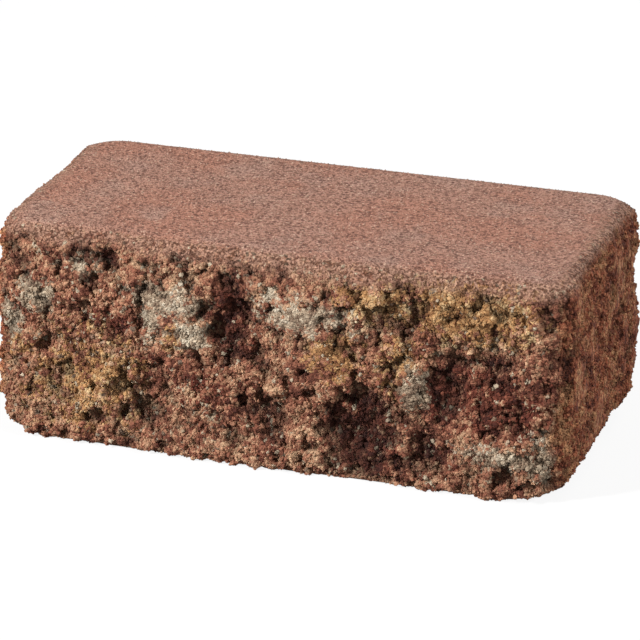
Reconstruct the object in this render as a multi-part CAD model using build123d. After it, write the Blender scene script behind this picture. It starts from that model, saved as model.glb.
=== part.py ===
from build123d import *

import math
import os

# A garden wall block of dry-cast concrete, split along its front and tumbled.
# It is one solid. Its bed face lies on the floor, +X runs along its length,
# the split front looks towards -Y, and the origin is under its middle.
# All sizes are in millimetres.

# The block between its plain faces, before the split's lumps and the ends' waves stand out
BLOCK_LENGTH = 395.0
BLOCK_DEPTH = 194.0
BLOCK_HEIGHT = 150.0

# What tumbling wore off: the upright corners seen from above, and the long edges
CORNER_RADIUS = 24.0
TOP_ARRIS_RADIUS = 19.0
END_ARRIS_RADIUS = 12.0
FRONT_FOOT_RADIUS = 7.0
RIGHT_FOOT_RADIUS = 27.0
LEFT_FOOT_RADIUS = 18.0
BACK_FOOT_RADIUS = 12.0

# How much of a quarter turn a worn edge makes before it meets the top or the bed in a soft crease
ARRIS_SWEEP = math.radians(78.0)

# How far the split front stands out in its middle, seen from above
FRONT_BELLY = 4.0

# The spread of the hollows and lumps that the split left in the front, and how deep or high they are
WIDE_SPREAD = 25.0
MIDDLE_SPREAD = 20.0
NARROW_SPREAD = 15.0
DEEP_DENT = 8.0
MIDDLE_DENT = 5.5
SHALLOW_DENT = 3.5

# Hollows and lumps of the front: share of the length from the middle, share of the height,
# spread, and how far the surface goes in (below zero) or stands out
FRONT_DENTS = [
    (0.152, 0.25, WIDE_SPREAD, -DEEP_DENT),
    (0.298, 0.47, MIDDLE_SPREAD, -DEEP_DENT),
    (-0.073, 0.64, MIDDLE_SPREAD, -DEEP_DENT),
    (-0.220, 0.25, MIDDLE_SPREAD, -DEEP_DENT),
    (-0.290, 0.88, NARROW_SPREAD, -MIDDLE_DENT),
    (-0.392, 0.41, NARROW_SPREAD, -MIDDLE_DENT),
    (0.000, 0.27, NARROW_SPREAD, -MIDDLE_DENT),
    (0.222, 0.78, NARROW_SPREAD, -MIDDLE_DENT),
    (0.360, 0.63, MIDDLE_SPREAD, -MIDDLE_DENT),
    (0.272, 0.18, NARROW_SPREAD, -MIDDLE_DENT),
    (-0.450, 0.85, NARROW_SPREAD, -SHALLOW_DENT),
    (0.038, 0.75, WIDE_SPREAD, SHALLOW_DENT),
    (-0.175, 0.66, MIDDLE_SPREAD, MIDDLE_DENT),
    (0.247, 0.47, NARROW_SPREAD, MIDDLE_DENT),
    (-0.385, 0.73, MIDDLE_SPREAD, SHALLOW_DENT),
    (0.164, 0.87, MIDDLE_SPREAD, SHALLOW_DENT),
    (0.404, 0.23, WIDE_SPREAD, SHALLOW_DENT),
    (0.088, 0.48, WIDE_SPREAD, SHALLOW_DENT),
    (-0.290, 0.30, MIDDLE_SPREAD, SHALLOW_DENT),
]

# The ends are rough rather than split: two crossing waves, each with its own slant
END_WAVE_HEIGHT = 2.4
END_WAVE_LENGTH = 110.0
RISING_SLANT = 0.6
STEEP_SLANT = 1.7
RIGHT_END_PHASE = 2.1
LEFT_END_PHASE = 4.4

# How closely the outlines follow the surface
STATION_SPACING = 14.0
CORNER_STATIONS = 2
EIGHTH_TURN = math.pi / 4.0
LEVEL_SPACING = 9.0
ARRIS_LEVELS = 6


def front_relief(x, z):
    """How far the split front stands out of its plain face at a place on it."""
    out = FRONT_BELLY * (1.0 - (2.0 * x / BLOCK_LENGTH) ** 2)
    for along, up, spread, height in FRONT_DENTS:
        dx = x - along * BLOCK_LENGTH
        dz = z - up * BLOCK_HEIGHT
        out += height * math.exp(-(dx * dx + dz * dz) / spread**2)
    return out


def end_relief(y, z, phase):
    """How far an end stands out of its plain face at a place on it."""
    turn = 2.0 * math.pi / END_WAVE_LENGTH
    rising = math.sin(turn * (y + RISING_SLANT * z) + phase)
    steep = math.sin(turn * (STEEP_SLANT * z - y / 2.0) + 2.0 * phase)
    return END_WAVE_HEIGHT * (rising + steep) / 2.0


def relief(place, outward, z):
    """How far the surface stands out at a place on the plain block's side that faces outward."""
    phase = RIGHT_END_PHASE if outward.X > 0 else LEFT_END_PHASE
    out = end_relief(place.Y, z, phase) * outward.X**2
    if outward.Y < 0:
        out += front_relief(place.X, z) * outward.Y**2
    return out


def inset(z, foot_radius, arris_radius):
    """How far the rounding of its two edges draws a side in at a height."""
    drawn_in = 0.0
    for distance, radius in ((z, foot_radius), (BLOCK_HEIGHT - z, arris_radius)):
        past = math.sin(ARRIS_SWEEP) - distance / radius
        if past > 0:
            drawn_in += radius * (1.0 - math.sqrt(1.0 - past**2))
    return drawn_in


def side_points(start, end, facing, length, z):
    """Points of one side at a height, from the middle of one rounded corner to the middle of the next."""
    steps = round((length - 2.0 * CORNER_RADIUS) / STATION_SPACING)
    turns = [EIGHTH_TURN * i / CORNER_STATIONS for i in range(1, CORNER_STATIONS + 1)]
    places = [(start, facing - turn) for turn in reversed(turns)]
    for i in range(steps + 1):
        places.append((start + (end - start) * (i / steps), facing))
    places += [(end, facing + turn) for turn in turns]
    points = []
    for centre, angle in places:
        outward = Vector(math.cos(angle), math.sin(angle))
        place = centre + outward * CORNER_RADIUS
        points.append(place + outward * relief(place, outward, z) + Vector(0, 0, z))
    return points


def outline(z):
    """The block's outline at a height: four smooth curves that meet in the middle of the corners."""
    right = BLOCK_LENGTH / 2.0 - inset(z, RIGHT_FOOT_RADIUS, END_ARRIS_RADIUS) - CORNER_RADIUS
    left = -BLOCK_LENGTH / 2.0 + inset(z, LEFT_FOOT_RADIUS, END_ARRIS_RADIUS) + CORNER_RADIUS
    front = -BLOCK_DEPTH / 2.0 + inset(z, FRONT_FOOT_RADIUS, TOP_ARRIS_RADIUS) + CORNER_RADIUS
    back = BLOCK_DEPTH / 2.0 - inset(z, BACK_FOOT_RADIUS, TOP_ARRIS_RADIUS) - CORNER_RADIUS
    corners = [Vector(left, front), Vector(right, front), Vector(right, back), Vector(left, back)]
    station_gap = CORNER_RADIUS * EIGHTH_TURN / CORNER_STATIONS
    curves = []
    for i, length in enumerate([BLOCK_LENGTH, BLOCK_DEPTH, BLOCK_LENGTH, BLOCK_DEPTH]):
        facing = 2.0 * EIGHTH_TURN * (i - 1)
        points = side_points(corners[i], corners[(i + 1) % len(corners)], facing, length, z)
        ends = []
        for angle in (facing - EIGHTH_TURN, facing + EIGHTH_TURN):
            ends.append(Vector(-math.sin(angle), math.cos(angle)) * station_gap)
        even = [float(step) for step in range(len(points))]
        curves.append(Edge.make_spline(points, tangents=ends, parameters=even, scale=False))
    return Wire(curves)


def levels():
    """The heights of the outlines: close together in the rounded edges, even between them."""
    reach = math.sin(ARRIS_SWEEP)
    rises = [math.sin(ARRIS_SWEEP * i / ARRIS_LEVELS) for i in range(1, ARRIS_LEVELS + 1)]
    low = RIGHT_FOOT_RADIUS * reach
    high = BLOCK_HEIGHT - TOP_ARRIS_RADIUS * reach
    steps = round((high - low) / LEVEL_SPACING)
    heights = [low - RIGHT_FOOT_RADIUS * rise for rise in reversed(rises)]
    heights += [low + (high - low) * i / steps for i in range(steps + 1)]
    heights += [high + TOP_ARRIS_RADIUS * rise for rise in rises]
    return heights


block = Solid.make_loft([outline(z) for z in levels()], ruled=True)

# Set the block's middle over the origin, on its bed face
box = block.bounding_box()
middle = box.center()
block = block.moved(Location((-middle.X, -middle.Y, -box.min.Z)))
block.label = "wall_block"

os.makedirs("parts", exist_ok=True)
export_step(block, "parts/wall_block.step")
print("volume in litres", round(block.volume / 1e6, 3), "size", block.bounding_box().size)
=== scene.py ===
import logging
import math
from dataclasses import dataclass
from enum import Enum

import bpy
import numpy as np
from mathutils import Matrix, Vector


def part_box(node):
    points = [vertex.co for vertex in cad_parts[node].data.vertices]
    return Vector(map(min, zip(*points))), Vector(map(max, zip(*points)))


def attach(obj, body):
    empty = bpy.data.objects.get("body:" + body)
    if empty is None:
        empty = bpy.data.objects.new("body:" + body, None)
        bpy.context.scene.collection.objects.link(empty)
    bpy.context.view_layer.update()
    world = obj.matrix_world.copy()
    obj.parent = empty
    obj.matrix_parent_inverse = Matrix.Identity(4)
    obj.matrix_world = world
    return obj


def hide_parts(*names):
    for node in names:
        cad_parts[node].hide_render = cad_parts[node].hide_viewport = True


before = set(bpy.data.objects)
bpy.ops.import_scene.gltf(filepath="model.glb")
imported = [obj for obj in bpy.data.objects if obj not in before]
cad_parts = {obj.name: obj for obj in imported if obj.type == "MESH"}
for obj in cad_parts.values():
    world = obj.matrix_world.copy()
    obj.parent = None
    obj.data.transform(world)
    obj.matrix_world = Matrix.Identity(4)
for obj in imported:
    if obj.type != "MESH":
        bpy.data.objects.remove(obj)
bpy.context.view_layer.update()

# A garden wall block of dry-cast concrete: a smooth cast top, a rough split front,
# rough ends and worn edges. It stands on its bed face and its split front looks towards -Y.
# Lengths of the block are in millimetres, and MM turns them into scene units.

MM = 0.001
NODE = "wall_block"
BODY = "root"

# How far inside the plain block's box a piece's points start to be drawn in, in millimetres
SOFT_EDGE = 2.0
NO_EDGE = 1e-9

# The share of a spot's strength that is gone at its rim
RIM_FADE = 0.6

LOG = logging.getLogger("wall_block")

BLACK = (0.0, 0.0, 0.0, 1.0)
WHITE = (1.0, 1.0, 1.0, 1.0)

# How far from a packed grain's middle its rim is and its flat top ends, as shares of its mean width
GRAIN_REACH = (0.72, 0.05)

# How the mesh tells its material a height, from which the material paints shade into the low places: this
# for the plain face, and so much more for each millimetre
SHOWN_LEVEL = 0.6
SHOWN_PER_MM = 0.1

# What one node hands on to the next
Socket = bpy.types.NodeSocket

# A colour with the number where it stands on a scale of shades
Stop = tuple[float, tuple[float, ...]]


def linear(red: int, green: int, blue: int) -> tuple[float, float, float, float]:
    """Turn a colour as a screen shows it, 0 to 255, into a shader colour.

    Args:
        red: the red share, 0 to 255.
        green: the green share, 0 to 255.
        blue: the blue share, 0 to 255.

    Returns:
        The linear colour with an alpha of 1.
    """
    shares = [value / 255.0 for value in (red, green, blue)]
    lit = [share / 12.92 if share <= 0.04045 else ((share + 0.055) / 1.055) ** 2.4 for share in shares]
    return (lit[0], lit[1], lit[2], 1.0)


class Tint(Enum):
    """The pigments and stones that show as patches in the split front; the dark red one, where it lies over
    the hollows, is also painted shade.
    """

    OCHRE = "ochre"
    BEIGE = "beige"
    MAROON_AND_SHADE = "maroon_and_painted_shade"


class Mark(Enum):
    """The attributes that the block's mesh carries for its material."""

    PLACE = "place"
    SPLIT = "split"
    CAST = "cast"
    WORN = "worn"
    HEIGHT = "height"
    HOLLOW = "hollow"
    PROUD = "proud"
    LEFT_FRONT = "left_front"
    RIGHT_FRONT = "right_front"
    FRONT = "front"
    ARRIS = "arris"
    ENDS = "ends"
    BACK = "back"


@dataclass(frozen=True)
class Spot:
    """A place on the split front.

    Attributes:
        x: millimetres from the block's middle along its length.
        z: millimetres above the bed face.
        wide: half its width in millimetres.
        tall: half its height in millimetres.
        strength: how strongly it shows, 1 for fully.
    """

    x: float
    z: float
    wide: float
    tall: float
    strength: float = 1.0


class Wiring:
    """Adds nodes to one node tree and wires them, so that a pattern reads as a formula."""

    def __init__(self, tree: bpy.types.NodeTree) -> None:
        """Keep the tree that the nodes go into."""
        self.tree = tree

    def add(self, kind: str, **settings: object) -> bpy.types.Node:
        """Add a node and set its own properties.

        Args:
            kind: the node's type.
            settings: its properties.

        Returns:
            The node.
        """
        node = self.tree.nodes.new(kind)
        for name, value in settings.items():
            setattr(node, name, value)
        return node

    def feed(self, socket: Socket, value: object) -> None:
        """Give an input a link or a plain value.

        Args:
            socket: the input.
            value: another node's output, or a number, vector or colour.
        """
        if isinstance(value, Socket):
            self.tree.links.new(value, socket)
        else:
            socket.default_value = value

    def math(self, operation: str, *values: object) -> Socket:
        """Work out a number from one to three others.

        Args:
            operation: what is done with them.
            values: the numbers.

        Returns:
            The result.
        """
        node = self.add("ShaderNodeMath", operation=operation)
        for socket, value in zip(node.inputs, values):
            self.feed(socket, value)
        return node.outputs[0]

    def total(self, *values: object) -> Socket:
        """Add up several numbers.

        Args:
            values: the numbers.

        Returns:
            Their sum.
        """
        result = values[0]
        for value in values[1:]:
            result = self.math("ADD", result, value)
        return result

    def product(self, *values: object) -> Socket:
        """Multiply several numbers.

        Args:
            values: the numbers.

        Returns:
            Their product.
        """
        result = values[0]
        for value in values[1:]:
            result = self.math("MULTIPLY", result, value)
        return result

    def vector(self, operation: str, *values: object) -> Socket:
        """Work out a vector from one or two others.

        Args:
            operation: what is done with them.
            values: the vectors.

        Returns:
            The result.
        """
        node = self.add("ShaderNodeVectorMath", operation=operation)
        for socket, value in zip(node.inputs, values):
            self.feed(socket, value)
        return node.outputs[0]

    def scaled(self, vector: Socket, factor: object) -> Socket:
        """Multiply a vector by a number.

        Args:
            vector: the vector.
            factor: the number.

        Returns:
            The longer or shorter vector.
        """
        node = self.add("ShaderNodeVectorMath", operation="SCALE")
        self.feed(node.inputs[0], vector)
        self.feed(node.inputs["Scale"], factor)
        return node.outputs[0]

    def parts(self, vector: Socket) -> tuple[Socket, ...]:
        """Take a vector or a colour apart.

        Args:
            vector: the vector or colour.

        Returns:
            Its three numbers.
        """
        node = self.add("ShaderNodeSeparateXYZ")
        self.feed(node.inputs[0], vector)
        return tuple(node.outputs)

    def ramp(self, value: object, low: float, high: float) -> Socket:
        """Rise smoothly from 0 at low to 1 at high, or fall where high is the smaller.

        Args:
            value: the number that is read.
            low: where the result is 0.
            high: where the result is 1.

        Returns:
            A number from 0 to 1.
        """
        node = self.add("ShaderNodeMapRange", interpolation_type="SMOOTHSTEP")
        falls = high < low
        self.feed(node.inputs[0], value)
        limits = (min(low, high), max(low, high), float(falls), float(not falls))
        for socket, number in zip(node.inputs[1:5], limits):
            socket.default_value = number
        return node.outputs[0]

    def noise(self, place: object, size: float, detail: float = 2.0, colour: bool = False) -> Socket:
        """Cloudy noise.

        Args:
            place: where it is read, in millimetres.
            size: the width of its clouds in millimetres.
            detail: how many finer layers it has.
            colour: three noises as a colour instead of one as a number.

        Returns:
            Values round 0.5.
        """
        node = self.add("ShaderNodeTexNoise")
        self.feed(node.inputs["Vector"], place)
        node.inputs["Scale"].default_value = 1.0 / size
        node.inputs["Detail"].default_value = detail
        return node.outputs[1 if colour else 0]

    def grains(self, place: object, size: float) -> tuple[Socket, Socket]:
        """Packed grains, each with its own random colour.

        Args:
            place: where they are read, in millimetres.
            size: the mean width of a grain in millimetres.

        Returns:
            How near its grain's middle a point is, 1 there and 0 at the rim, and the grain's random colour.
        """
        node = self.add("ShaderNodeTexVoronoi")
        self.feed(node.inputs["Vector"], place)
        node.inputs["Scale"].default_value = 1.0 / size
        return self.ramp(node.outputs["Distance"], *GRAIN_REACH), node.outputs["Color"]

    def mix(self, factor: object, first: object, second: object, blend: str = "MIX") -> Socket:
        """Mix two colours.

        Args:
            factor: the second colour's share.
            first: the first colour.
            second: the second colour.
            blend: how the second is laid over the first.

        Returns:
            The mixed colour.
        """
        node = self.add("ShaderNodeMix", data_type="RGBA", blend_type=blend)
        for socket, value in zip((node.inputs[0], node.inputs[6], node.inputs[7]), (factor, first, second)):
            self.feed(socket, value)
        return node.outputs[2]

    def shades(self, value: object, stops: tuple[Stop, ...]) -> Socket:
        """Turn a number into a colour.

        Args:
            value: the number, 0 to 1.
            stops: the colours, each with the number where it stands.

        Returns:
            The colour.
        """
        node = self.add("ShaderNodeValToRGB")
        self.feed(node.inputs[0], value)
        elements = node.color_ramp.elements
        while len(elements) < len(stops):
            elements.new(0.5)
        for element, (position, colour) in zip(elements, stops):
            element.position = position
            element.color = colour
        return node.outputs[0]

    def read(self, name: Mark) -> Socket:
        """Read an attribute of the mesh in Geometry Nodes.

        Args:
            name: the attribute.

        Returns:
            Its number.
        """
        node = self.add("GeometryNodeInputNamedAttribute", data_type="FLOAT")
        node.inputs["Name"].default_value = name.value
        return node.outputs[0]

    def mark(self, name: Mark | Tint, vector: bool = False) -> Socket:
        """Read an attribute of the mesh in a material."""
        node = self.add("ShaderNodeAttribute", attribute_name=name.value)
        return node.outputs["Vector" if vector else "Fac"]


@dataclass(frozen=True)
class GrainSizes:
    """The widths of the broken stone, in millimetres, which the mesh and the material share."""

    lump: float = 26.0
    chunk: float = 10.5
    grain: float = 4.4
    sand: float = 2.1


@dataclass(frozen=True)
class Relief:
    """How far the rough sides stand out and go in, in millimetres.

    Attributes:
        lump: the broad swells.
        chunk: how far the middle of a broken stone stands out past its rim.
        step: how far one broken stone may stand out past the next.
        gone: the share of the stones that fell out.
        gone_rim: how gradually that share passes into the stones that stayed.
        pore: how deep a hole each of those left.
        grain: coarse sand.
        uneven: how far one coarse grain may stand out past the next, as a share of its height.
        hollow: the holes that torn-out stones left in the front.
        hollow_rim: how near to a hollow's middle its rim is and its bottom starts.
        proud: the stones that stand out of the front.
        proud_rim: how near to a stone's middle its rim is and its top starts.
        worn_off: the share of the relief that wearing took off the top's edges.
        least_grain: the share of the coarse sand that stays where nothing is split.
        drift: how far the pattern wanders, so that no grain is round.
        drift_size: the width of its wandering.
        ragged_size: the width of the notches in the rims of the hollows and the stones.
        ragged_hollow: how far the notches cut into the rims of the hollows.
        ragged_proud: how far they cut into the rims of the stones.
        sunk: how far the rough sides lie inside the plain block, so that their tops stay in its box.
    """

    lump: float = 1.6
    chunk: float = 2.6
    step: float = 1.5
    gone: float = 0.24
    gone_rim: float = 0.04
    pore: float = 3.6
    grain: float = 1.4
    uneven: float = 0.8
    hollow: float = 3.0
    hollow_rim: tuple[float, float] = (0.12, 0.55)
    proud: float = 1.2
    proud_rim: tuple[float, float] = (0.1, 0.6)
    worn_off: float = 0.8
    least_grain: float = 0.45
    drift: float = 3.0
    drift_size: float = 13.0
    ragged_size: float = 9.0
    ragged_hollow: float = 0.9
    ragged_proud: float = 0.6
    sunk: float = 1.0

    def tree(self, sizes: GrainSizes) -> bpy.types.NodeTree:
        """Build the node tree that breaks the sides up.

        Args:
            sizes: the widths of the broken stone.

        Returns:
            A geometry node tree.
        """
        tree = _new_tree("broken_sides")
        wire = Wiring(tree)
        start = wire.add("NodeGroupInput").outputs[0]
        position = wire.add("GeometryNodeInputPosition").outputs[0]
        facing = wire.add("GeometryNodeInputNormal").outputs[0]
        even = wire.scaled(position, 1.0 / MM)
        wander = wire.vector("SUBTRACT", wire.noise(even, self.drift_size, colour=True), (0.5, 0.5, 0.5))
        place = wire.vector("ADD", even, wire.scaled(wander, 2.0 * self.drift))
        height = self._height(wire, even, place, sizes)

        store_place = self._store(wire, start, Mark.PLACE, place, "FLOAT_VECTOR")
        shown = wire.math("MULTIPLY_ADD", height, SHOWN_PER_MM, SHOWN_LEVEL)
        store_height = self._store(wire, store_place, Mark.HEIGHT, shown, "FLOAT")
        moved = wire.add("GeometryNodeSetPosition")
        wire.feed(moved.inputs["Geometry"], store_height)
        wire.feed(moved.inputs["Offset"], wire.scaled(facing, wire.product(height, MM)))
        wire.feed(wire.add("NodeGroupOutput").inputs[0], moved.outputs[0])
        return tree

    def _height(self, wire: Wiring, even: Socket, place: Socket, sizes: GrainSizes) -> Socket:
        """Work out how far the skin moves out at a place on it.

        Args:
            wire: the tree's wiring.
            even: the place, in millimetres.
            place: the same after the pattern has wandered.
            sizes: the widths of the broken stone.

        Returns:
            The height in millimetres.
        """
        split = wire.read(Mark.SPLIT)
        rough = wire.math("SUBTRACT", 1.0, wire.read(Mark.CAST))
        lump = wire.math("MULTIPLY_ADD", wire.noise(even, sizes.lump), 2.0 * self.lump, -self.lump)
        chunk_dome, chunk_colour = wire.grains(place, sizes.chunk)
        chunk_luck = wire.parts(chunk_colour)
        missing = wire.ramp(chunk_luck[1], self.gone + self.gone_rim, self.gone)
        chunk = wire.total(
            wire.product(chunk_dome, self.chunk),
            wire.math("MULTIPLY_ADD", chunk_luck[0], 2.0 * self.step, -self.step),
            wire.product(missing, -self.pore),
        )
        grain_dome, grain_colour = wire.grains(place, sizes.grain)
        uneven = wire.math("MULTIPLY_ADD", wire.parts(grain_colour)[0], 2.0 * self.uneven, -self.uneven)
        grain = wire.product(wire.total(grain_dome, uneven), self.grain)
        ragged = wire.math("SUBTRACT", wire.noise(place, self.ragged_size, detail=3.0), 0.5)
        notched = wire.math("MULTIPLY_ADD", ragged, self.ragged_hollow, wire.read(Mark.HOLLOW))
        hollow = wire.ramp(notched, *self.hollow_rim)
        notched = wire.math("MULTIPLY_ADD", ragged, self.ragged_proud, wire.read(Mark.PROUD))
        proud = wire.ramp(notched, *self.proud_rim)
        fresh = wire.math("MULTIPLY_ADD", wire.read(Mark.WORN), -self.worn_off, 1.0)
        broad = wire.product(split, fresh, wire.total(lump, chunk, -self.sunk))
        share = wire.math("MULTIPLY_ADD", split, 1.0 - self.least_grain, self.least_grain)
        fine = wire.product(rough, grain, fresh, share)
        torn = wire.math("SUBTRACT", wire.product(proud, self.proud), wire.product(hollow, self.hollow))
        return wire.total(broad, fine, torn)

    @staticmethod
    def _store(wire: Wiring, shape: Socket, mark: Mark, value: Socket, kind: str) -> Socket:
        """Write a value onto each point of the mesh.

        Args:
            wire: the tree's wiring.
            shape: the mesh so far.
            mark: the attribute to write.
            value: what it holds.
            kind: the attribute's data type.

        Returns:
            The mesh with the attribute.
        """
        node = wire.add("GeometryNodeStoreNamedAttribute", data_type=kind, domain="POINT")
        wire.feed(node.inputs["Geometry"], shape)
        node.inputs["Name"].default_value = mark.value
        wire.feed(node.inputs["Value"], value)
        return node.outputs[0]


@dataclass(frozen=True)
class CloudSizes:
    """The widths of the concrete's slow changes of colour, in millimetres."""

    shade: float = 18.0
    patch: float = 11.0
    rust: float = 26.0
    border: float = 6.0
    cast_warm: float = 55.0
    cast_grey: float = 34.0


@dataclass(frozen=True)
class GritSizes:
    """The widths of the finest grit, in millimetres, which only the material shows."""

    speckle: float = 1.0
    rubbed: float = 2.0
    streak: float = 1.8
    cast_pit: float = 2.7
    cast_sand: float = 1.6
    cast_grit: float = 2.1
    cast_silt: float = 1.0


@dataclass(frozen=True)
class Contrast:
    """How much each pattern adds to the shade of a broken grain.

    Attributes:
        sand: the luck of each grain of sand.
        grain: the luck of each coarse grain.
        cloud: the slow change.
        base: the shade where all of these are 0.
    """

    sand: float = 0.45
    grain: float = 0.3
    cloud: float = 1.1
    base: float = -0.44


@dataclass(frozen=True)
class Mottling:
    """How the tints mix with the cement, and the rust with the rest of the ends.

    Attributes:
        tint: how strongly a patch's own shape says where its tint is.
        cloud: how strongly its clouds break that shape up.
        scarcity: how much less likely a tint is where both are 0.
        sand_chance: the share that each grain of sand has in the luck of taking a tint.
        grain_chance: the share that the coarse grain round it has.
        rust_cloud: how strongly the slow change breaks up the rust on the ends.
        rust_reach: from where to where the ends pass into rust.
        rust_shift: how much darker its shades are where its clouds are 0.
        dust_reach: from where to where the worn edge passes into dust.
    """

    tint: float = 1.2
    cloud: float = 1.6
    scarcity: float = -0.84
    sand_chance: float = 0.55
    grain_chance: float = 0.45
    rust_cloud: float = 0.6
    rust_reach: tuple[float, float] = (0.9, 1.25)
    rust_shift: float = -0.48
    dust_reach: tuple[float, float] = (0.3, 1.1)


@dataclass(frozen=True)
class GritReach:
    """From where to where in 0 to 1 each fine pattern passes from its one end to its other.

    Attributes:
        speckle: from the dark to the pale of the finest grit.
        rubbed: from the gaps to the surface of the worn edge.
        streak: from the dark to the pale of the upright streaks.
        cast_warm: from the top's own colour to its warm clouds.
        cast_grey: from either of these to its grey clouds.
        cast_pit: from a pin hole's rim to its bottom.
        cast_speck: from a pale speck's rim to its middle.
        cast_grain: from the dark to the pale of the top's unevenness, coarse and fine.
    """

    speckle: tuple[float, float] = (0.3, 0.7)
    rubbed: tuple[float, float] = (0.4, 0.58)
    streak: tuple[float, float] = (0.35, 0.62)
    cast_warm: tuple[float, float] = (0.42, 0.62)
    cast_grey: tuple[float, float] = (0.48, 0.7)
    cast_pit: tuple[float, float] = (0.3, 0.55)
    cast_speck: tuple[float, float] = (0.2, 0.6)
    cast_grain: tuple[float, float] = (0.38, 0.6)


@dataclass(frozen=True)
class Bumps:
    """How high the finest grit stands, in millimetres, which only its shading shows.

    Attributes:
        sand: the broken sand.
        speckle: the finest grit between it.
        streak: the upright streaks on the ends.
        cast_sand: the top's sand.
        cast_grit: its coarse unevenness.
        cast_silt: its fine unevenness.
        cast_pit: how deep its pin holes are.
        cast_speck: its pale specks.
    """

    sand: float = 0.9
    speckle: float = 1.4
    streak: float = 2.0
    cast_sand: float = 0.7
    cast_grit: float = 2.0
    cast_silt: float = 1.2
    cast_pit: float = 1.4
    cast_speck: float = 0.4


@dataclass(frozen=True)
class ConcreteFinish:
    """Dry-cast concrete in its two looks: cast smooth on top, and broken open on the sides.

    Attributes:
        cast: the top's colour, with cast_warm and cast_grey clouds in it.
        cast_tones_and_shade: the shades of its grain, from its own dark and the painted shade of a low spot
            to full.
        cast_shares: how much its sand, coarse and fine unevenness each count for in that shade.
        cast_pit: the colour in its pin holes, a painted shade.
        cast_speck: the colour of its pale specks.
        dust: the colour of the worn edge.
        pebble: the colour of the pale small stones.
        slate: the colour of the grey small stones.
        rust: the shades of the ends.
        cement: the shades of the split front.
        ochre: the shades of its ochre patches.
        beige: the shades of its beige patches.
        maroon_and_painted_shade: the shades of its dark red patches, which over the hollows also stand in as
            painted shade.
        speckle: how dark the finest grit gets.
        rubbed: how dark the gaps in the worn edge get.
        streaked: how dark the upright streaks on the ends get.
        streak_stretch: how the streaks are drawn out upwards.
        border_ragged: how far the border between the cast and the broken look strays.
        border_reach: from where to where in the cast mark it passes.
        dust_share: how much of the worn edge the dust covers.
        rust_share: how much of the ends the rust covers.
        pit_painted_shade_share: how fully a pin hole takes that painted shade.
        speck_share: how fully a speck takes its colour.
        pit_luck: from where to where in 0 to 1 a grain's luck makes it a pin hole.
        speck_luck: from where to where it makes it a speck.
        pebble_luck: from where to where it makes it a pebble.
        slate_luck: from where to where it makes it slate.
        patch_rim: how softly a patch ends from grain to grain.
        painted_rim_shade: how dark the painted shade makes a grain's rim beside its middle.
        painted_depth_shade: how dark the painted shade makes the deepest hollows beside the highest stones.
        depth_reach: from what height to what height, as the mesh tells it, that painted shade fades out.
        roughness: the roughness of the broken sides and of the cast top.
        gloss: the specular level of both.
        contrast: how much each pattern adds to a grain's shade.
        mottling: how the tints and the rust mix with the rest.
        clouds: the widths of the slow changes of colour.
        grit: the widths of the finest grit.
        reach: from where to where its patterns pass.
        bumps: how high it stands.
    """

    cast: tuple[float, ...] = linear(183, 137, 117)
    cast_warm: tuple[float, ...] = linear(184, 131, 109)
    cast_grey: tuple[float, ...] = linear(182, 142, 124)
    cast_tones_and_shade: tuple[Stop, ...] = ((0.22, (0.30, 0.22, 0.19, 1.0)), (0.70, WHITE))
    cast_shares: tuple[float, float, float] = (0.35, 0.3, 0.35)
    cast_pit: tuple[float, ...] = linear(96, 56, 44)
    cast_speck: tuple[float, ...] = linear(228, 194, 168)
    dust: tuple[float, ...] = linear(212, 165, 141)
    pebble: tuple[float, ...] = linear(222, 202, 174)
    slate: tuple[float, ...] = linear(150, 124, 104)
    rust: tuple[Stop, ...] = (
        (0.10, linear(130, 66, 48)),
        (0.40, linear(204, 117, 83)),
        (0.80, linear(244, 180, 128)),
    )
    cement: tuple[Stop, ...] = (
        (0.15, linear(116, 66, 50)),
        (0.38, linear(174, 112, 87)),
        (0.60, linear(212, 158, 124)),
        (0.85, linear(232, 190, 152)),
    )
    ochre: tuple[Stop, ...] = (
        (0.15, linear(150, 101, 64)),
        (0.50, linear(222, 169, 113)),
        (0.85, linear(246, 212, 161)),
    )
    beige: tuple[Stop, ...] = (
        (0.15, linear(136, 110, 90)),
        (0.50, linear(207, 183, 155)),
        (0.85, linear(248, 232, 206)),
    )
    maroon_and_painted_shade: tuple[Stop, ...] = (
        (0.15, linear(82, 40, 31)),
        (0.50, linear(128, 66, 49)),
        (0.85, linear(170, 104, 80)),
    )
    speckle: tuple[Stop, ...] = ((0.0, (0.68, 0.66, 0.65, 1.0)), (1.0, WHITE))
    rubbed: tuple[Stop, ...] = ((0.0, (0.36, 0.30, 0.27, 1.0)), (1.0, WHITE))
    streaked: tuple[Stop, ...] = ((0.0, (0.34, 0.30, 0.28, 1.0)), (1.0, WHITE))
    streak_stretch: tuple[float, float, float] = (1.0, 1.0, 0.35)
    border_ragged: float = 0.7
    border_reach: tuple[float, float] = (0.2, 0.8)
    dust_share: float = 0.9
    rust_share: float = 0.8
    pit_painted_shade_share: float = 0.8
    speck_share: float = 0.7
    pit_luck: tuple[float, float] = (0.66, 0.84)
    speck_luck: tuple[float, float] = (0.87, 0.92)
    pebble_luck: tuple[float, float] = (0.97, 0.982)
    slate_luck: tuple[float, float] = (0.015, 0.008)
    patch_rim: tuple[float, float] = (-0.16, 0.1)
    painted_rim_shade: float = 0.7
    painted_depth_shade: float = 0.4
    depth_reach: tuple[float, float] = (0.2, 0.66)
    roughness: tuple[float, float] = (0.93, 0.85)
    gloss: float = 0.3
    contrast: Contrast = Contrast()
    mottling: Mottling = Mottling()
    clouds: CloudSizes = CloudSizes()
    grit: GritSizes = GritSizes()
    reach: GritReach = GritReach()
    bumps: Bumps = Bumps()

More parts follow.
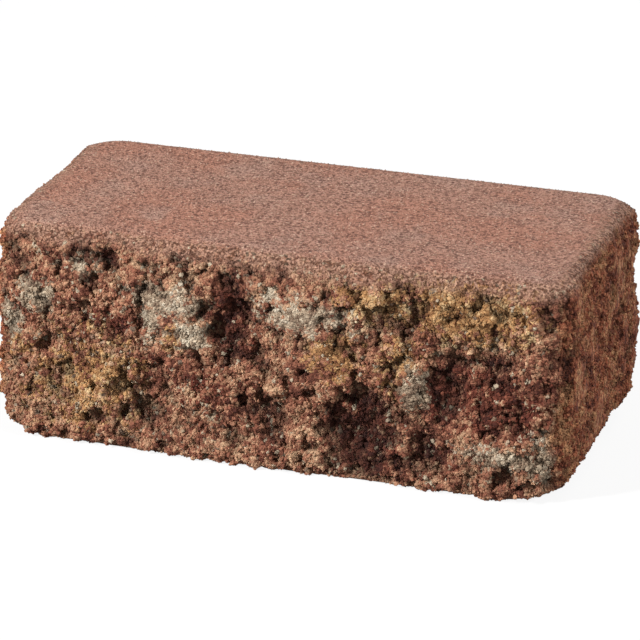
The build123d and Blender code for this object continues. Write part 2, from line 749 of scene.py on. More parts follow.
    def material(self, sizes: GrainSizes) -> bpy.types.Material:
        """Build the concrete's material.

        Args:
            sizes: the widths of the broken stone.

        Returns:
            The material.
        """
        material = bpy.data.materials.new("dry_cast_concrete")
        material.use_nodes = True
        wire = Wiring(material.node_tree)
        shader = material.node_tree.nodes["Principled BSDF"]
        place = wire.mark(Mark.PLACE, vector=True)
        even = wire.scaled(wire.add("ShaderNodeTexCoord").outputs["Object"], 1.0 / MM)
        broken, broken_height = self._broken(wire, place, even, sizes)
        smooth, smooth_height = self._smooth(wire, even)
        ragged = wire.noise(place, self.clouds.border)
        ragged = wire.math("MULTIPLY_ADD", ragged, 2.0 * self.border_ragged, -self.border_ragged)
        border = wire.ramp(wire.total(wire.mark(Mark.CAST), ragged), *self.border_reach)
        wire.feed(shader.inputs["Base Color"], wire.mix(border, broken, smooth))
        height = wire.total(
            wire.product(broken_height, wire.math("SUBTRACT", 1.0, border)),
            wire.product(smooth_height, border),
        )
        bump = wire.add("ShaderNodeBump")
        bump.inputs["Strength"].default_value = 1.0
        bump.inputs["Distance"].default_value = MM
        wire.feed(bump.inputs["Height"], height)
        wire.feed(shader.inputs["Normal"], bump.outputs[0])
        rough, smoothed = self.roughness
        wire.feed(shader.inputs["Roughness"], wire.math("MULTIPLY_ADD", border, smoothed - rough, rough))
        shader.inputs["Specular IOR Level"].default_value = self.gloss
        return material

    def _broken(self, wire: Wiring, place: Socket, even: Socket, sizes: GrainSizes) -> tuple[Socket, Socket]:
        """The broken sides: every grain has its own shade, patches change the mix, and painted shade darkens
        the grains' rims and the low places.

        Args:
            wire: the material's wiring.
            place: where the pattern is read, in millimetres, alike all over one loose grain.
            even: the plain place on the surface, in millimetres.
            sizes: the widths of the broken stone.

        Returns:
            The colour, and the height of its finest grains in millimetres.
        """
        coarse_luck = wire.parts(wire.grains(place, sizes.grain)[1])
        sand_dome, sand_colour = wire.grains(place, sizes.sand)
        sand_luck = wire.parts(sand_colour)
        cloud = wire.noise(place, self.clouds.shade, detail=3.0)
        shade = wire.total(
            wire.product(sand_luck[0], self.contrast.sand),
            wire.product(coarse_luck[1], self.contrast.grain),
            wire.math("MULTIPLY_ADD", cloud, self.contrast.cloud, self.contrast.base),
        )
        chance = wire.total(
            wire.product(sand_luck[1], self.mottling.sand_chance),
            wire.product(coarse_luck[0], self.mottling.grain_chance),
        )
        colour = self._patched(wire, place, shade, chance)
        colour = self._rusted(wire, place, colour, shade, cloud)
        dusty = wire.ramp(wire.total(sand_luck[1], cloud), *self.mottling.dust_reach)
        colour = wire.mix(wire.product(wire.mark(Mark.WORN), dusty, self.dust_share), colour, self.dust)
        away = wire.math("SUBTRACT", 1.0, wire.mark(Mark.ENDS))
        for stone, luck in ((self.pebble, self.pebble_luck), (self.slate, self.slate_luck)):
            colour = wire.mix(wire.product(wire.ramp(sand_luck[2], *luck), away), colour, stone)
        # Painted shade: the rims of the sand grains, and the low places as the mesh's height tells them, are
        # darkened.
        rim = wire.math("MULTIPLY_ADD", sand_dome, 1.0 - self.painted_rim_shade, self.painted_rim_shade)
        up = wire.ramp(wire.mark(Mark.HEIGHT), *self.depth_reach)
        painted_depth = wire.math("MULTIPLY_ADD", up, 1.0 - self.painted_depth_shade, self.painted_depth_shade)
        shadow = wire.shades(wire.product(rim, painted_depth), ((0.0, BLACK), (1.0, WHITE)))
        colour = wire.mix(1.0, colour, shadow, "MULTIPLY")
        return self._gritty(wire, even, colour, sand_dome)

    def _patched(self, wire: Wiring, place: Socket, shade: Socket, chance: Socket) -> Socket:
        """Colour the grains: cement, and in each patch grains of its tint among it.

        Args:
            wire: the material's wiring.
            place: where the pattern is read, in millimetres.
            shade: how pale each grain is, 0 to 1.
            chance: each grain's luck, which says if it takes the patch's tint.

        Returns:
            The colour.
        """
        mottling = self.mottling
        colour = wire.shades(shade, self.cement)
        # The dark red patches that sit over the hollows paint shade there as well as the concrete's own dark
        # red.
        for tint, stops in (
            (Tint.MAROON_AND_SHADE, self.maroon_and_painted_shade),
            (Tint.OCHRE, self.ochre),
            (Tint.BEIGE, self.beige),
        ):
            cloud = wire.noise(place, self.clouds.patch, detail=3.0)
            spread = wire.math("MULTIPLY_ADD", cloud, mottling.cloud, mottling.scarcity)
            likely = wire.total(wire.product(wire.mark(tint), mottling.tint), spread)
            mask = wire.ramp(wire.math("SUBTRACT", likely, chance), *self.patch_rim)
            colour = wire.mix(mask, colour, wire.shades(shade, stops))
        return colour

    def _rusted(self, wire: Wiring, place: Socket, colour: Socket, shade: Socket, cloud: Socket) -> Socket:
        """Give the ends their rusty colour.

        Args:
            wire: the material's wiring.
            place: where the pattern is read, in millimetres.
            colour: the colour so far.
            shade: how pale each grain is, 0 to 1.
            cloud: the slow change of shade.

        Returns:
            The colour.
        """
        mottling = self.mottling
        broken_up = wire.total(wire.mark(Mark.ENDS), wire.product(cloud, mottling.rust_cloud))
        rusty = wire.ramp(broken_up, *mottling.rust_reach)
        reddish = wire.math("MULTIPLY_ADD", wire.noise(place, self.clouds.rust), 1.0, mottling.rust_shift)
        rust = wire.shades(wire.total(shade, reddish), self.rust)
        return wire.mix(wire.product(rusty, self.rust_share), colour, rust)

    def _gritty(self, wire: Wiring, even: Socket, colour: Socket, dome: Socket) -> tuple[Socket, Socket]:
        """Lay the finest grit over the broken sides, and streak the ends upwards.

        Args:
            wire: the material's wiring.
            even: the plain place on the surface, in millimetres.
            colour: the colour so far.
            dome: how near its grain's middle a point is.

        Returns:
            The colour, and the height of the grit in millimetres.
        """
        worn = wire.mark(Mark.WORN)
        ends = wire.mark(Mark.ENDS)
        speckle = wire.noise(even, self.grit.speckle)
        speckled = wire.shades(wire.ramp(speckle, *self.reach.speckle), self.speckle)
        colour = wire.mix(1.0, colour, speckled, "MULTIPLY")
        rubbed = wire.ramp(wire.noise(even, self.grit.rubbed, detail=3.0), *self.reach.rubbed)
        colour = wire.mix(worn, colour, wire.shades(rubbed, self.rubbed), "MULTIPLY")
        drawn_out = wire.vector("MULTIPLY", even, self.streak_stretch)
        streak = wire.noise(drawn_out, self.grit.streak, detail=3.0)
        upright = wire.product(ends, wire.math("SUBTRACT", 1.0, worn))
        streaked = wire.shades(wire.ramp(streak, *self.reach.streak), self.streaked)
        colour = wire.mix(upright, colour, streaked, "MULTIPLY")
        height = wire.total(
            wire.product(dome, self.bumps.sand),
            wire.product(speckle, self.bumps.speckle),
            wire.product(streak, ends, self.bumps.streak),
        )
        return colour, height

    def _smooth(self, wire: Wiring, even: Socket) -> tuple[Socket, Socket]:
        """The cast top: fine sand pressed flat, with pale specks, and painted shade in its pin holes and,
        partly, in its low spots.

        Args:
            wire: the material's wiring.
            even: the plain place on the surface, in millimetres.

        Returns:
            The colour, and its height in millimetres.
        """
        reach = self.reach
        warm = wire.ramp(wire.noise(even, self.clouds.cast_warm, detail=3.0), *reach.cast_warm)
        grey = wire.ramp(wire.noise(even, self.clouds.cast_grey, detail=3.0), *reach.cast_grey)
        colour = wire.mix(grey, wire.mix(warm, self.cast, self.cast_warm), self.cast_grey)
        pit_dome, pit_colour = wire.grains(even, self.grit.cast_pit)
        holed = wire.ramp(wire.parts(pit_colour)[0], *self.pit_luck)
        pit = wire.product(wire.ramp(pit_dome, *reach.cast_pit), holed)
        sand_dome, sand_colour = wire.grains(even, self.grit.cast_sand)
        sand_luck = wire.parts(sand_colour)
        pale = wire.ramp(sand_luck[1], *self.speck_luck)
        speck = wire.product(wire.ramp(sand_dome, *reach.cast_speck), pale)
        grit = wire.noise(even, self.grit.cast_grit, detail=3.0)
        silt = wire.noise(even, self.grit.cast_silt)
        sand_share, grit_share, silt_share = self.cast_shares
        # Partly painted shade: the top's unevenness darkens its low spots, besides each sand grain's own
        # random darkness.
        tone_and_shade = wire.total(
            wire.product(sand_luck[0], sand_share),
            wire.product(wire.ramp(grit, *reach.cast_grain), grit_share),
            wire.product(wire.ramp(silt, *reach.cast_grain), silt_share),
        )
        colour = wire.mix(1.0, colour, wire.shades(tone_and_shade, self.cast_tones_and_shade), "MULTIPLY")
        colour = wire.mix(wire.product(speck, self.speck_share), colour, self.cast_speck)
        # Painted shade: the pin holes are coloured dark.
        colour = wire.mix(wire.product(pit, self.pit_painted_shade_share), colour, self.cast_pit)
        height = wire.total(
            wire.product(sand_dome, self.bumps.cast_sand),
            wire.product(grit, self.bumps.cast_grit),
            wire.product(silt, self.bumps.cast_silt),
            wire.product(pit, -self.bumps.cast_pit),
            wire.product(speck, self.bumps.cast_speck),
        )
        return colour, height


@dataclass(frozen=True)
class Facing:
    """How squarely the skin looks a way to count as that side: the cosines where that starts and is full.

    Attributes:
        broken: for the rough front, ends and back.
        top: for the smooth top.
        bed: for the smooth bed face.
        worn: for the worn edge, upwards.
        strewn: for the grains on the front and the back.
        arris: for the grains on the worn edge, upwards.
        end: for the ends' own colour and grains.
    """

    broken: tuple[float, float] = (0.25, 0.8)
    top: tuple[float, float] = (0.8, 0.995)
    bed: tuple[float, float] = (0.93, 0.995)
    worn: tuple[float, float] = (0.2, 0.75)
    strewn: tuple[float, float] = (0.2, 0.6)
    arris: tuple[float, float] = (0.1, 0.4)
    end: tuple[float, float] = (0.3, 0.9)


@dataclass
class BlockBody:
    """The block: one casting, made from the plain solid by breaking its sides up.

    Attributes:
        voxel: the spacing of the fine skin, in millimetres.
        arris_reach: how far in from the block's sides the top's worn edge starts and stops, in millimetres.
        end_split: how rough the ends are beside the split front, as a share.
        back_split: how rough the back is beside it.
        facing: how squarely the skin looks a way to count as a side.
        side_from: how far out from the block's middle a face lies to be on a side, as a share.
        thinned_within: the share of a side, from its middle, where the skin is thinned.
        kept_shares: for each thinned side its axis, its sign and the share of its faces that stay.
        sizes: the widths of the broken stone.
        relief: how far the rough sides stand out.
        finish: the concrete's material.
        hollows: holes in the split front.
        stones: stones that stand out of the split front.
        patches: the coloured patches of the split front; the dark red ones over the hollows are partly
            painted shade.
    """

    voxel: float = 1.4
    arris_reach: tuple[float, float] = (4.0, 24.0)
    end_split: float = 0.65
    back_split: float = 0.35
    facing: Facing = Facing()
    side_from: float = 0.8
    thinned_within: float = 0.86
    kept_shares: tuple[tuple[int, int, float], ...] = (
        (2, 1, 0.2),
        (2, -1, 0.06),
        (1, 1, 0.3),
        (0, -1, 0.5),
        (0, 1, 0.8),
    )
    sizes: GrainSizes = GrainSizes()
    relief: Relief = Relief()
    finish: ConcreteFinish = ConcreteFinish()
    hollows: tuple[Spot, ...] = (
        Spot(60, 36, 24, 28),
        Spot(74, 58, 12, 14, 0.8),
        Spot(118, 70, 14, 14),
        Spot(-34, 88, 9, 18),
        Spot(-24, 108, 9, 18, 0.9),
        Spot(-85, 50, 14, 14, 0.9),
        Spot(-90, 28, 16, 14, 0.9),
        Spot(-115, 133, 8, 7, 0.7),
        Spot(0, 40, 14, 11, 0.7),
        Spot(88, 117, 11, 12, 0.8),
        Spot(150, 95, 15, 9, 0.9),
        Spot(107, 28, 13, 12, 0.9),
        Spot(58, 10, 15, 9, 0.7),
        Spot(-178, 128, 12, 10, 0.8),
        Spot(128, 92, 12, 9, 0.7),
    )
    stones: tuple[Spot, ...] = (
        Spot(15, 112, 22, 12),
        Spot(-62, 92, 12, 12),
        Spot(-78, 114, 18, 9, 0.8),
        Spot(98, 70, 9, 13),
        Spot(-165, 105, 14, 12),
        Spot(-130, 115, 12, 14, 0.8),
        Spot(65, 130, 20, 9, 0.7),
        Spot(160, 34, 18, 16, 0.8),
        Spot(35, 72, 24, 20, 0.7),
        Spot(-115, 45, 16, 18, 0.8),
    )
    patches: tuple[tuple[Tint, tuple[Spot, ...]], ...] = (
        (
            Tint.OCHRE,
            (
                Spot(130, 126, 44, 20, 1.1),
                Spot(70, 126, 24, 14),
                Spot(-135, 45, 40, 34, 0.7),
                Spot(-108, 55, 20, 22, 0.8),
                Spot(-180, 70, 12, 18, 0.7),
                Spot(-66, 88, 9, 9),
                Spot(88, 88, 16, 24, 0.7),
                Spot(44, 90, 18, 18, 0.9),
            ),
        ),
        (
            Tint.BEIGE,
            (
                Spot(-73, 112, 24, 10),
                Spot(-82, 98, 9, 14, 0.9),
                Spot(-54, 90, 10, 10, 1.2),
                Spot(25, 112, 30, 12, 0.9),
                Spot(98, 70, 8, 14, 1.1),
                Spot(-165, 105, 13, 12, 1.0),
                Spot(-130, 128, 12, 9, 0.7),
                Spot(160, 32, 32, 10, 0.8),
                Spot(185, 30, 10, 18, 0.9),
                Spot(-182, 82, 9, 14, 0.9),
                Spot(0, 125, 12, 8, 0.6),
            ),
        ),
        (
            # The dark red patches: several sit on the hollows and are painted shade there, as well as the
            # concrete's own dark red.
            Tint.MAROON_AND_SHADE,
            (
                Spot(118, 70, 18, 20),
                Spot(60, 34, 26, 34, 0.9),
                Spot(110, 30, 20, 16, 0.8),
                Spot(-28, 100, 16, 26, 0.9),
                Spot(-90, 58, 20, 22, 0.6),
                Spot(-115, 133, 9, 8, 0.8),
                Spot(150, 65, 40, 30, 0.9),
                Spot(-138, 70, 40, 18, 0.6),
                Spot(-48, 53, 36, 20, 0.5),
                Spot(-110, 90, 24, 14, 0.7),
            ),
        ),
    )

    def build(self) -> bpy.types.Object:
        """Make the block's mesh.

        Returns:
            The finished piece.
        """
        piece = self._copy_solid()
        self._reskin(piece)
        self._mark_sides(piece)
        _run_tree(piece, self.relief.tree(self.sizes))
        self._thin(piece)
        hold_in_box(piece)
        return piece

    def dress(self, piece: bpy.types.Object) -> None:
        """Give the piece its material and its place in the part.

        Args:
            piece: the finished block.
        """
        piece.data.materials.clear()
        piece.data.materials.append(self.finish.material(self.sizes))
        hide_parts(NODE)
        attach(piece, BODY)

    def _copy_solid(self) -> bpy.types.Object:
        """Copy the plain solid and merge its loose triangles.

        Returns:
            The copy, alone selected and active.
        """
        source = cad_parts[NODE]
        piece = bpy.data.objects.new("block_body", source.data.copy())
        _take_up(piece)
        bpy.ops.object.mode_set(mode="EDIT")
        bpy.ops.mesh.select_all(action="SELECT")
        bpy.ops.mesh.remove_doubles(threshold=0.01 * MM)
        bpy.ops.object.mode_set(mode="OBJECT")
        return piece

    def _reskin(self, piece: bpy.types.Object) -> None:
        """Give the piece an even, fine skin.

        Args:
            piece: the block's mesh.
        """
        skin = piece.modifiers.new("skin", "REMESH")
        skin.mode = "VOXEL"
        skin.voxel_size = self.voxel * MM
        skin.use_smooth_shade = True
        bpy.ops.object.modifier_apply(modifier=skin.name)

    def _mark_sides(self, piece: bpy.types.Object) -> None:
        """Write onto each point which side it belongs to and how near it is to each spot.

        Args:
            piece: the block's mesh.
        """
        mesh = piece.data
        facing = self.facing
        places = _read_rows(mesh.vertices, "co").astype(float) / MM
        out_x, out_y, out_z = _read_rows(mesh.vertex_normals, "vector").T
        front = _smoothstep(-out_y, *facing.broken)
        back = _smoothstep(out_y, *facing.broken)
        ends = _smoothstep(np.abs(out_x), *facing.broken)
        low, high = (np.array(corner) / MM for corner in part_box(NODE))
        edge = np.minimum(places[:, :2] - low[:2], high[:2] - places[:, :2]).min(axis=1)
        inner = _smoothstep(edge, *self.arris_reach)
        level = np.maximum(_smoothstep(out_z, *facing.top) * inner, _smoothstep(-out_z, *facing.bed))
        strewn = _smoothstep(-out_y, *facing.strewn)
        split = np.clip(front + self.end_split * ends + self.back_split * back, 0.0, 1.0)
        _write_mark(mesh, Mark.SPLIT, split)
        _write_mark(mesh, Mark.CAST, level)
        _write_mark(mesh, Mark.WORN, _smoothstep(out_z, *facing.worn))
        _write_mark(mesh, Mark.HOLLOW, front * _nearness(places, self.hollows))
        _write_mark(mesh, Mark.PROUD, front * _nearness(places, self.stones))
        _write_mark(mesh, Mark.FRONT, strewn)
        _write_mark(mesh, Mark.LEFT_FRONT, strewn * (places[:, 0] < 0.0))
        _write_mark(mesh, Mark.RIGHT_FRONT, strewn * (places[:, 0] >= 0.0))
        _write_mark(mesh, Mark.ARRIS, _smoothstep(out_z, *facing.arris) * (1.0 - level) ** 2)
        _write_mark(mesh, Mark.ENDS, _smoothstep(np.abs(out_x), *facing.end))
        _write_mark(mesh, Mark.BACK, _smoothstep(out_y, *facing.strewn))
        for tint, spots in self.patches:
            _write_mark(mesh, tint, front * _nearness(places, spots))

    def _thin(self, piece: bpy.types.Object) -> None:
        """Take faces away where the skin is plainer than its faces are small.

        Args:
            piece: the block's mesh.
        """
        low, high = (np.array(corner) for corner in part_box(NODE))
        middle, half = (low + high) / 2.0, (high - low) / 2.0
        for axis, sign, share in self.kept_shares:
            centres = _read_rows(piece.data.polygons, "center").astype(float)
            reach = (centres - middle) / half
            inner = np.abs(np.delete(reach, axis, axis=1)).max(axis=1) < self.thinned_within
            self._select_faces(piece, (sign * reach[:, axis] > self.side_from) & inner)
            bpy.ops.object.mode_set(mode="EDIT")
            bpy.ops.mesh.decimate(ratio=share)
            bpy.ops.object.mode_set(mode="OBJECT")

    @staticmethod
    def _select_faces(piece: bpy.types.Object, chosen: np.ndarray) -> None:
        """Select some of the piece's faces and no others.

        Args:
            piece: the block's mesh.
            chosen: for each face, whether it is selected.
        """
        bpy.context.tool_settings.mesh_select_mode = (False, False, True)
        mesh = piece.data
        mesh.vertices.foreach_set("select", np.zeros(len(mesh.vertices), bool))
        mesh.edges.foreach_set("select", np.zeros(len(mesh.edges), bool))
        mesh.polygons.foreach_set("select", chosen)


@dataclass
class Crumbs:
    """Grains of sand and stone that stand on the rough skin: one joined mesh.

    Attributes:
        name: the piece's name.
        side: the mark that says where they stand.
        spacing: how close two of them may be, in millimetres.
        narrow: the width of the finest, in millimetres.
        wide: the width of the coarsest, in millimetres.
        seed: the start of their random places, sizes and turns.
        unevenness: how far a grain's corners stray, as a share of its radius.
        crowding: how many places are tried on a square as wide as the spacing.
        narrowest: a grain's least width across, as a share of its mean one.
        widest: its greatest.
        worn_off: the share of their width that wearing took off.
        least: the share of their width that stays where nothing is split.
    """

    name: str
    side: Mark
    spacing: float
    narrow: float
    wide: float
    seed: int
    unevenness: float = 0.35
    crowding: float = 2.5
    narrowest: float = 0.7
    widest: float = 1.3
    worn_off: float = 0.5
    least: float = 0.5

    def build(self, body: bpy.types.Object) -> bpy.types.Object:
        """Strew the grains over a copy of the block's skin.

        Args:
            body: the finished block.

        Returns:
            The grains, as one mesh.
        """
        crumb = self._crumb()
        piece = body.copy()
        piece.data = body.data.copy()
        piece.name = self.name
        _take_up(piece)
        _run_tree(piece, self._tree(crumb))
        bpy.data.objects.remove(crumb)
        hold_in_box(piece)
        return piece

    def _crumb(self) -> bpy.types.Object:
        """Model one uneven grain of eight faces, about two units wide.

        Returns:
            The grain.
        """
        bpy.ops.object.select_all(action="DESELECT")
        bpy.ops.mesh.primitive_uv_sphere_add(segments=4, ring_count=2, radius=1.0)
        bpy.ops.object.mode_set(mode="EDIT")
        bpy.ops.mesh.select_all(action="SELECT")
        bpy.ops.mesh.quads_convert_to_tris()
        bpy.ops.transform.vertex_random(offset=self.unevenness, seed=self.seed)
        bpy.ops.object.mode_set(mode="OBJECT")
        return bpy.context.active_object

    def _tree(self, crumb: bpy.types.Object) -> bpy.types.NodeTree:
        """Build the node tree that strews the grains.

        Args:
            crumb: the grain that is repeated.

        Returns:
            A geometry node tree.
        """
        tree = _new_tree(self.name)
        wire = Wiring(tree)
        points = wire.add("GeometryNodeDistributePointsOnFaces", distribute_method="POISSON")
        wire.feed(points.inputs["Mesh"], wire.add("NodeGroupInput").outputs[0])
        points.inputs["Distance Min"].default_value = self.spacing * MM
        points.inputs["Density Max"].default_value = self.crowding / (self.spacing * MM) ** 2
        points.inputs["Seed"].default_value = self.seed
        wire.feed(points.inputs["Density Factor"], wire.read(self.side))
        luck = self._luck(wire, "FLOAT", 0.0, 1.0, 1)
        coarse = wire.product(luck, luck, luck)
        width = wire.math("MULTIPLY_ADD", coarse, self.wide - self.narrow, self.narrow)
        fresh = wire.math("MULTIPLY_ADD", wire.read(Mark.WORN), -self.worn_off, 1.0)
        split = wire.math("MULTIPLY_ADD", wire.read(Mark.SPLIT), 1.0 - self.least, self.least)
        calm = wire.product(fresh, split)
        stretch = self._luck(wire, "FLOAT_VECTOR", (self.narrowest,) * 3, (self.widest,) * 3, 2)
        turn = self._luck(wire, "FLOAT_VECTOR", (0.0,) * 3, (math.tau,) * 3, 3)
        instances = wire.add("GeometryNodeInstanceOnPoints")
        wire.feed(instances.inputs["Points"], points.outputs["Points"])
        source = wire.add("GeometryNodeObjectInfo")
        source.inputs["Object"].default_value = crumb
        wire.feed(instances.inputs["Instance"], source.outputs["Geometry"])
        wire.feed(instances.inputs["Rotation"], turn)
        wire.feed(instances.inputs["Scale"], wire.scaled(stretch, wire.product(width, calm, MM / 2.0)))
        real = wire.add("GeometryNodeRealizeInstances")
        wire.feed(real.inputs[0], instances.outputs[0])
        wire.feed(wire.add("NodeGroupOutput").inputs[0], real.outputs[0])
        return tree

    def _luck(self, wire: Wiring, kind: str, low: object, high: object, turn: int) -> Socket:
        """A random number or vector for each grain, evenly spread between low and high.

        Args:
            wire: the tree's wiring.
            kind: FLOAT for a number or FLOAT_VECTOR for a vector.
            low: the least.
            high: the greatest.
            turn: which of the grain's random draws it is.

        Returns:
            The number or vector.
        """
        node = wire.add("FunctionNodeRandomValue", data_type=kind)
        first = 0 if kind == "FLOAT_VECTOR" else 2
        node.inputs[first].default_value = low
        node.inputs[first + 1].default_value = high
        node.inputs["Seed"].default_value = self.seed + turn
        return node.outputs[0 if kind == "FLOAT_VECTOR" else 1]

    def dress(self, piece: bpy.types.Object, body: bpy.types.Object) -> None:
        """Give the grains the block's material and tie them to it.

        Args:
            piece: the grains.
            body: the finished block.
        """
        piece.data.materials.clear()
        piece.data.materials.append(body.data.materials[0])
        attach(piece, BODY)


def hold_in_box(piece: bpy.types.Object) -> None:
    """Draw a piece's outermost points in, softly, so that it stays inside the plain block's box.

    Args:
        piece: the mesh whose points move.
    """
    low, high = (np.array(corner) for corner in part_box(NODE))
    middle, half = (low + high) / 2.0, (high - low) / 2.0
    away = _read_rows(piece.data.vertices, "co").astype(float) - middle
    soft = SOFT_EDGE * MM * np.array([1.0, 1.0, 0.0]) + NO_EDGE
    past = np.abs(away) - (half - soft)
    drawn = half - soft + soft * (1.0 - np.exp(-np.maximum(past, 0.0) / soft))
    away = np.where(past > 0.0, np.sign(away) * drawn, away)
    piece.data.vertices.foreach_set("co", (middle + away).astype(np.float32).ravel())
    piece.data.update()


def _new_tree(name: str) -> bpy.types.NodeTree:
    """Start a geometry node tree that takes a mesh in and gives one back.

    Args:
        name: its name.

    Returns:
        The tree.
    """
    tree = bpy.data.node_groups.new(name, "GeometryNodeTree")
    for way in ("INPUT", "OUTPUT"):
        tree.interface.new_socket("Geometry", in_out=way, socket_type="NodeSocketGeometry")
    return tree


def _take_up(piece: bpy.types.Object) -> None:
    """Put a new piece into the scene, alone selected and active.

    Args:
        piece: the piece.
    """
    bpy.context.scene.collection.objects.link(piece)
    bpy.ops.object.select_all(action="DESELECT")
    piece.select_set(True)
    bpy.context.view_layer.objects.active = piece


def _run_tree(piece: bpy.types.Object, tree: bpy.types.NodeTree) -> None:
    """Change a piece's mesh for good with a geometry node tree.

    Args:
        piece: the active piece.
        tree: the tree.
    """
    change = piece.modifiers.new(tree.name, "NODES")
    change.node_group = tree
    bpy.ops.object.modifier_apply(modifier=change.name)


def _read_rows(items: bpy.types.bpy_prop_collection, field: str) -> np.ndarray:
    """Read a vector of each point or face of a mesh.

    Args:
        items: the mesh's points, normals or faces.
        field: the vector's name.

    Returns:
        The vectors, as rows of three.
    """
    rows = np.zeros(len(items) * 3, np.float32)
    items.foreach_get(field, rows)
    return rows.reshape(-1, 3)


def _smoothstep(values: np.ndarray, low: float, high: float) -> np.ndarray:
    """Rise smoothly from 0 at low to 1 at high."""
    share = np.clip((values - low) / (high - low), 0.0, 1.0)
    return share * share * (3.0 - 2.0 * share)


def _nearness(places: np.ndarray, spots: tuple[Spot, ...]) -> np.ndarray:
    """How near each point is to the nearest spot.

    Args:
        places: points in millimetres, as rows.
        spots: the spots.

    Returns:
        A spot's strength in its middle, and less outwards, down to 0 some way past its rim.
    """
    best = np.zeros(len(places))
    for spot in spots:
        away = np.hypot((places[:, 0] - spot.x) / spot.wide, (places[:, 2] - spot.z) / spot.tall)
        best = np.maximum(best, spot.strength * np.clip(1.0 - RIM_FADE * away, 0.0, 1.0))
    return best


def _write_mark(mesh: bpy.types.Mesh, mark: Mark | Tint, values: np.ndarray) -> None:
    """Write a number onto each point of a mesh."""
    attribute = mesh.attributes.get(mark.value) or mesh.attributes.new(mark.value, "FLOAT", "POINT")
    attribute.data.foreach_set("value", values.astype(np.float32))


@dataclass(frozen=True)
class Lamp:
    """A square lamp that shines on the block.

    Attributes:
        name: its name.
        power: its power in watts.
        size: its width in metres.
        seen_from: the direction from the block to it.
    """

    name: str
    power: float
    size: float
    seen_from: tuple[float, float, float]


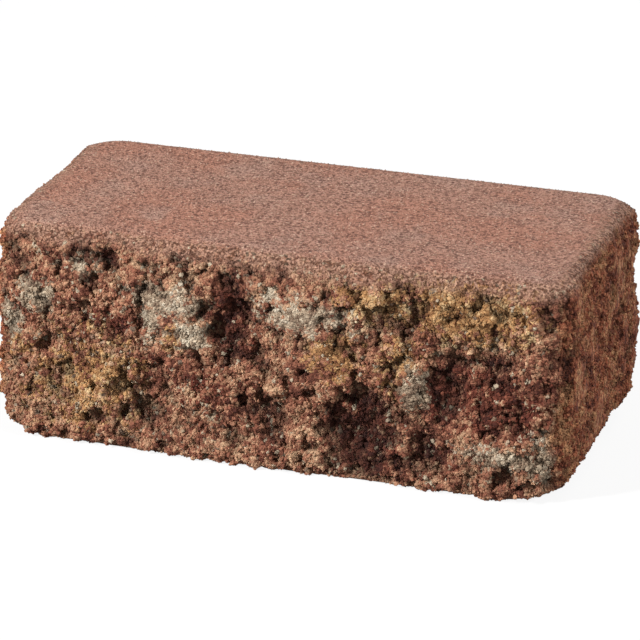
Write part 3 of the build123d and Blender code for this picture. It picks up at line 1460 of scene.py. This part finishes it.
@dataclass
class Studio:
    """The floor, the lamps and the camera.

    Attributes:
        floor_size: the floor's width in metres.
        floor_seen: its colour where it is seen.
        floor_lit: its colour for the light that it throws onto the block.
        floor_glow: the share of its own white light where it is seen, so that the block's shadow stays.
        floor_roughness: how dull it is.
        lamps: the lamp at the photograph's left, the one at its right and the one behind the block.
        lamp_distance: how far away they hang, in metres.
        sky: the brightness of the light from all round.
        lens: the camera's lens in millimetres.
        azimuth: how far the camera stands to the right of the block's front, in degrees.
        elevation: how high it stands, in degrees.
        distance: how far away it stands, in metres.
        aim: the point that it looks at, in millimetres.
    """

    floor_size: float = 8.0
    floor_seen: tuple[float, ...] = (0.95, 0.95, 0.95, 1.0)
    floor_lit: tuple[float, ...] = (0.25, 0.25, 0.25, 1.0)
    floor_glow: float = 0.88
    floor_roughness: float = 0.9
    lamps: tuple[Lamp, ...] = (
        Lamp("key", 125.0, 0.3, (-0.60, -0.62, 0.50)),
        Lamp("fill", 46.0, 0.5, (0.80, -0.25, 0.55)),
        Lamp("back", 36.0, 1.0, (0.25, 0.85, 0.45)),
    )
    lamp_distance: float = 3.0
    sky: float = 0.15
    lens: float = 225.2
    azimuth: float = 18.84
    elevation: float = 21.66
    distance: float = 2.681
    aim: tuple[float, float, float] = (1.6, -1.1, 71.2)

    def build(self) -> None:
        """Set up the floor, the light and the camera."""
        self._floor()
        for lamp in self.lamps:
            self._hang(lamp)
        self._sky()
        self._camera()

    def _floor(self) -> None:
        """Lay a plain white floor that keeps the block's shadow."""
        bpy.ops.object.select_all(action="DESELECT")
        bpy.ops.mesh.primitive_plane_add(size=self.floor_size)
        floor = bpy.context.active_object
        floor.name = "studio_floor"
        material = bpy.data.materials.new("white_floor")
        material.use_nodes = True
        wire = Wiring(material.node_tree)
        shader = material.node_tree.nodes["Principled BSDF"]
        shader.inputs["Roughness"].default_value = self.floor_roughness
        glow = wire.add("ShaderNodeEmission")
        seen = self._seen(wire)
        wire.feed(shader.inputs["Base Color"], wire.mix(seen, self.floor_lit, self.floor_seen))
        mixed = wire.add("ShaderNodeMixShader")
        wire.feed(mixed.inputs[0], wire.product(seen, self.floor_glow))
        wire.feed(mixed.inputs[1], shader.outputs[0])
        wire.feed(mixed.inputs[2], glow.outputs[0])
        wire.feed(material.node_tree.nodes["Material Output"].inputs["Surface"], mixed.outputs[0])
        floor.data.materials.append(material)

    def _hang(self, lamp: Lamp) -> None:
        """Hang a lamp.

        Args:
            lamp: the lamp.
        """
        light = bpy.data.lights.new(lamp.name, "AREA")
        light.energy = lamp.power
        light.size = lamp.size
        holder = bpy.data.objects.new(lamp.name, light)
        bpy.context.scene.collection.objects.link(holder)
        towards = Vector(lamp.seen_from).normalized()
        holder.location = towards * self.lamp_distance
        holder.rotation_euler = towards.to_track_quat("Z", "Y").to_euler()

    def _sky(self) -> None:
        """Light the block softly from all round, and show the camera plain white."""
        world = bpy.data.worlds.new("studio")
        world.use_nodes = True
        bpy.context.scene.world = world
        wire = Wiring(world.node_tree)
        seen = self._seen(wire)
        background = world.node_tree.nodes["Background"]
        background.inputs["Color"].default_value = WHITE
        wire.feed(background.inputs["Strength"], wire.math("MULTIPLY_ADD", seen, 1.0 - self.sky, self.sky))

    @staticmethod
    def _seen(wire: Wiring) -> Socket:
        """Tell the rays that show the backdrop from those that light the block.

        Args:
            wire: the wiring of the floor's or the sky's nodes.

        Returns:
            1 for what is seen straight, in a reflection or through something, and 0 for the rest.
        """
        path = wire.add("ShaderNodeLightPath")
        straight = wire.math("MAXIMUM", path.outputs["Is Camera Ray"], path.outputs["Is Glossy Ray"])
        return wire.math("MAXIMUM", straight, path.outputs["Is Transmission Ray"])

    def _camera(self) -> None:
        """Stand the camera where the photograph was taken from."""
        camera = bpy.data.cameras.new("camera")
        camera.lens = self.lens
        holder = bpy.data.objects.new("camera", camera)
        bpy.context.scene.collection.objects.link(holder)
        turn, rise = math.radians(self.azimuth), math.radians(self.elevation)
        level = math.cos(rise)
        towards = Vector((math.sin(turn) * level, -math.cos(turn) * level, math.sin(rise)))
        holder.location = Vector(self.aim) * MM + towards * self.distance
        holder.rotation_euler = towards.to_track_quat("Z", "Y").to_euler()
        bpy.context.scene.camera = holder


def main() -> None:
    """Build the studio and the block, and report each piece."""
    logging.basicConfig(level=logging.INFO, format="%(name)s: %(message)s")
    bpy.context.scene.view_settings.view_transform = "Standard"
    Studio().build()
    block = BlockBody()
    body = block.build()
    block.dress(body)
    _report(body)
    for crumbs in (
        Crumbs("front_grit", Mark.FRONT, spacing=1.95, narrow=1.4, wide=3.6, seed=11),
        Crumbs("left_front_sand", Mark.LEFT_FRONT, spacing=1.7, narrow=1.1, wide=2.0, seed=23),
        Crumbs("right_front_sand", Mark.RIGHT_FRONT, spacing=1.7, narrow=1.1, wide=2.0, seed=29),
        Crumbs("arris_sand", Mark.ARRIS, spacing=1.9, narrow=1.8, wide=4.0, seed=61),
        Crumbs("end_sand", Mark.ENDS, spacing=1.8, narrow=2.0, wide=4.4, seed=37),
        Crumbs("back_sand", Mark.BACK, spacing=2.4, narrow=2.2, wide=5.0, seed=53),
    ):
        piece = crumbs.build(body)
        crumbs.dress(piece, body)
        _report(piece)


def _report(piece: bpy.types.Object) -> None:
    """Say how large a piece's mesh is."""
    triangles = sum(len(face.vertices) - 2 for face in piece.data.polygons)
    LOG.info("%s: %d points, %d triangles", piece.name, len(piece.data.vertices), triangles)


if __name__ == "__main__":
    main()
